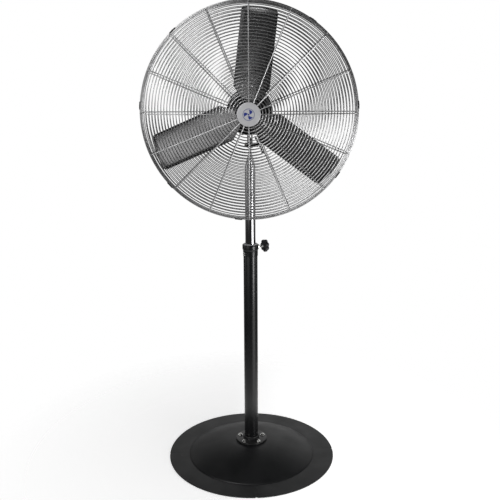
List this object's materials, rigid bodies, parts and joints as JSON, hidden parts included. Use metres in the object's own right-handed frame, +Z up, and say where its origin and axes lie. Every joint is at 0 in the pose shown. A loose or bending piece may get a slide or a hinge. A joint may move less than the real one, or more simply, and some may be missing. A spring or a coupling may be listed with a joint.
{
  "type": "pedestal fan",
  "caption": "Industrial pedestal fan with a round weighted base, telescopic mast, tilting wire-guarded head and paddle blades on a rear-mounted motor.",
  "frame": {"origin": "on the floor, under the middle of the base and the mast", "axes": "+Z up along the mast, -Y the way the fan blows, +X to the right of someone in front of the fan"},
  "size_m": [0.8092, 0.7, 1.8698],
  "materials": {
    "base_coat": "black powder coat, satin",
    "black_coat": "black powder coat, semi-gloss",
    "motor_coat": "black enamel, satin",
    "blade_coat": "black coated steel, satin",
    "chrome": "bright chrome plate",
    "zinc": "bright zinc plate",
    "bearing_steel": "ground steel",
    "iron": "laminated core, dull",
    "copper": "wound laminated core",
    "black_plastic": "moulded, satin",
    "grey_plastic": "moulded nylon, satin",
    "badge_silver": "silver lacquer, satin"
  },
  "bodies": {
    "root": {"base_plate": "base_coat", "base_flange": "black_coat", "flange_bolt_1": "zinc", "flange_bolt_2": "zinc", "flange_bolt_3": "zinc", "flange_bolt_4": "zinc", "flange_bolt_5": "zinc", "outer_tube": "black_coat", "tube_collar": "black_coat", "collar_bush": "grey_plastic", "clamp_nut": "zinc"},
    "clamp_screw": {"clamp_screw": "zinc"},
    "clamp_knob": {"clamp_knob": "black_plastic"},
    "glide": {"pole_glide": "grey_plastic"},
    "mast": {"inner_pole": "chrome"},
    "head": {"tilt_yoke": "black_coat", "yoke_screw_left": "zinc", "yoke_screw_right": "zinc", "tilt_bolt": "zinc", "tilt_nut": "zinc", "motor_shell": "motor_coat", "motor_front_cover": "motor_coat", "motor_rear_cover": "motor_coat", "stator": "copper", "front_bearing": "bearing_steel", "rear_bearing": "bearing_steel", "guard_plate": "black_coat", "rear_guard": "chrome", "front_guard": "chrome", "guard_clip_1": "black_coat", "guard_clip_2": "black_coat", "guard_clip_3": "black_coat", "guard_clip_4": "black_coat", "guard_clip_5": "black_coat", "guard_clip_6": "black_coat", "guard_clip_7": "black_coat", "guard_clip_8": "black_coat", "badge": "badge_silver", "switch_box": "black_coat", "cable_gland": "black_plastic"},
    "tilt_lever": {"tilt_lever": "black_coat", "lever_grip": "black_plastic"},
    "switch_knob": {"switch_knob": "black_plastic"},
    "rotor": {"motor_shaft": "bearing_steel", "rotor_core": "iron", "blade_spider": "black_coat", "hub_set_screw": "zinc", "blade_1": "blade_coat", "blade_2": "blade_coat", "blade_3": "blade_coat", "rivet_1_1": "zinc", "rivet_1_2": "zinc", "rivet_1_3": "zinc", "rivet_2_1": "zinc", "rivet_2_2": "zinc", "rivet_2_3": "zinc", "rivet_3_1": "zinc", "rivet_3_2": "zinc", "rivet_3_3": "zinc"}
  },
  "joints": [
    {"name": "height", "type": "slide", "parent": "root", "child": "glide", "axis": [0, 0, 1], "range_m": [-0.2, 0.25]},
    {"name": "swivel", "type": "hinge", "parent": "glide", "child": "mast", "pos_m": [0, 0, 0.53], "axis": [0, 0, 1], "range_deg": [-180, 180]},
    {"name": "tilt", "type": "hinge", "parent": "mast", "child": "head", "pos_m": [0, 0, 1.328], "axis": [1, 0, 0], "range_deg": [-30, 12]},
    {"name": "spin", "type": "hinge", "parent": "head", "child": "rotor", "pos_m": [0, 0, 1.465], "axis": [0, -1, 0], "continuous": true},
    {"name": "clamp_advance", "type": "slide", "parent": "root", "child": "clamp_screw", "axis": [0.866, 0.5, 0], "range_m": [0, 0.003]},
    {"name": "clamp_turn", "type": "hinge", "parent": "clamp_screw", "child": "clamp_knob", "pos_m": [0.05846, 0.03375, 0.9125], "axis": [0.866, 0.5, 0], "range_deg": [0, 720]},
    {"name": "lever_turn", "type": "hinge", "parent": "head", "child": "tilt_lever", "pos_m": [0.02, 0, 1.328], "axis": [1, 0, 0], "range_deg": [0, 120]},
    {"name": "switch_turn", "type": "hinge", "parent": "head", "child": "switch_knob", "pos_m": [0, 0.13, 1.465], "axis": [0, -1, 0], "range_deg": [0, 270]}
  ],
  "couplings": [
    {"joint": "clamp_turn", "follows": "clamp_advance", "rad_per_m": 4188.7}
  ]
}
